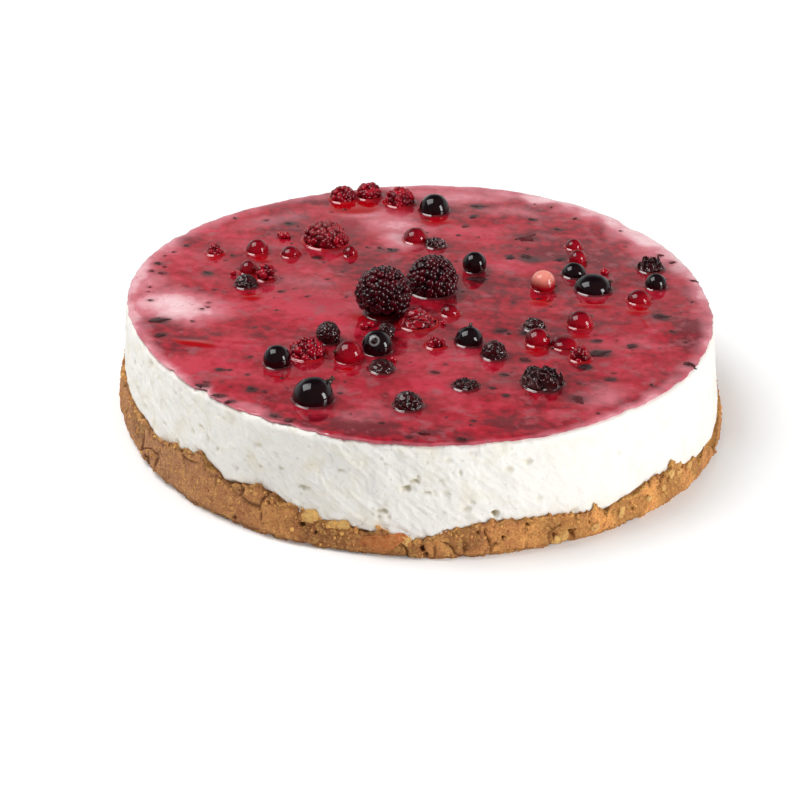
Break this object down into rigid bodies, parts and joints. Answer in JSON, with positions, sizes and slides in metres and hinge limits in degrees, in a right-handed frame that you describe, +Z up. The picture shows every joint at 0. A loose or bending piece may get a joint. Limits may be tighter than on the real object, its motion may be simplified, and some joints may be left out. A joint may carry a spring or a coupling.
{
  "type": "berry cheesecake",
  "caption": "Whole round cheesecake: crumb base, thick white cheese filling and a skin of red berry jelly with whole and broken berries sunk in it.",
  "frame": {"origin": "on the table under the middle of the cake", "axes": "+Z up, through the middle of the cake; -Y is the side that faces the viewer in the picture"},
  "size_m": [0.2284, 0.228, 0.0623],
  "materials": {
    "biscuit_crumb": "coarse pressed biscuit crumb, matte",
    "cheese_filling": "set white cream cheese, soft sheen",
    "berry_jelly": "clear glossy red jelly over white",
    "bramble_skin": "dark glossy beads",
    "raspberry_skin": "red soft beads with juice",
    "red_currant_skin": "glossy translucent skin",
    "black_currant_skin": "glossy black skin",
    "shrunken_skin": "dark folded skin, part glossy"
  },
  "bodies": {
    "root": {"base": "biscuit_crumb", "filling": "cheese_filling", "jelly": "berry_jelly", "bramble_1": "bramble_skin", "bramble_2": "bramble_skin", "raspberry_1": "raspberry_skin", "raspberry_2": "raspberry_skin", "raspberry_3": "raspberry_skin", "raspberry_4": "raspberry_skin", "raspberry_5": "raspberry_skin", "raspberry_piece_1": "raspberry_skin", "raspberry_piece_2": "raspberry_skin", "raspberry_piece_3": "raspberry_skin", "raspberry_piece_4": "raspberry_skin", "raspberry_piece_5": "raspberry_skin", "red_currant_1": "red_currant_skin", "red_currant_2": "red_currant_skin", "red_currant_3": "red_currant_skin", "red_currant_4": "red_currant_skin", "red_currant_5": "red_currant_skin", "red_currant_6": "red_currant_skin", "red_currant_7": "red_currant_skin", "red_currant_8": "red_currant_skin", "red_currant_9": "red_currant_skin", "red_currant_10": "red_currant_skin", "red_currant_11": "red_currant_skin", "red_currant_12": "red_currant_skin", "red_currant_13": "red_currant_skin", "red_currant_14": "red_currant_skin", "black_currant_1": "black_currant_skin", "black_currant_2": "black_currant_skin", "black_currant_3": "black_currant_skin", "black_currant_4": "black_currant_skin", "black_currant_5": "black_currant_skin", "black_currant_6": "black_currant_skin", "black_currant_7": "black_currant_skin", "black_currant_8": "black_currant_skin", "black_currant_9": "black_currant_skin", "wrinkled_berry_1": "shrunken_skin", "wrinkled_berry_2": "shrunken_skin", "wrinkled_berry_3": "shrunken_skin", "wrinkled_berry_4": "shrunken_skin", "wrinkled_berry_5": "shrunken_skin", "wrinkled_berry_6": "shrunken_skin", "wrinkled_berry_7": "shrunken_skin", "wrinkled_berry_8": "shrunken_skin", "wrinkled_berry_9": "shrunken_skin", "wrinkled_berry_10": "shrunken_skin", "wrinkled_berry_11": "shrunken_skin"}
  },
  "joints": []
}
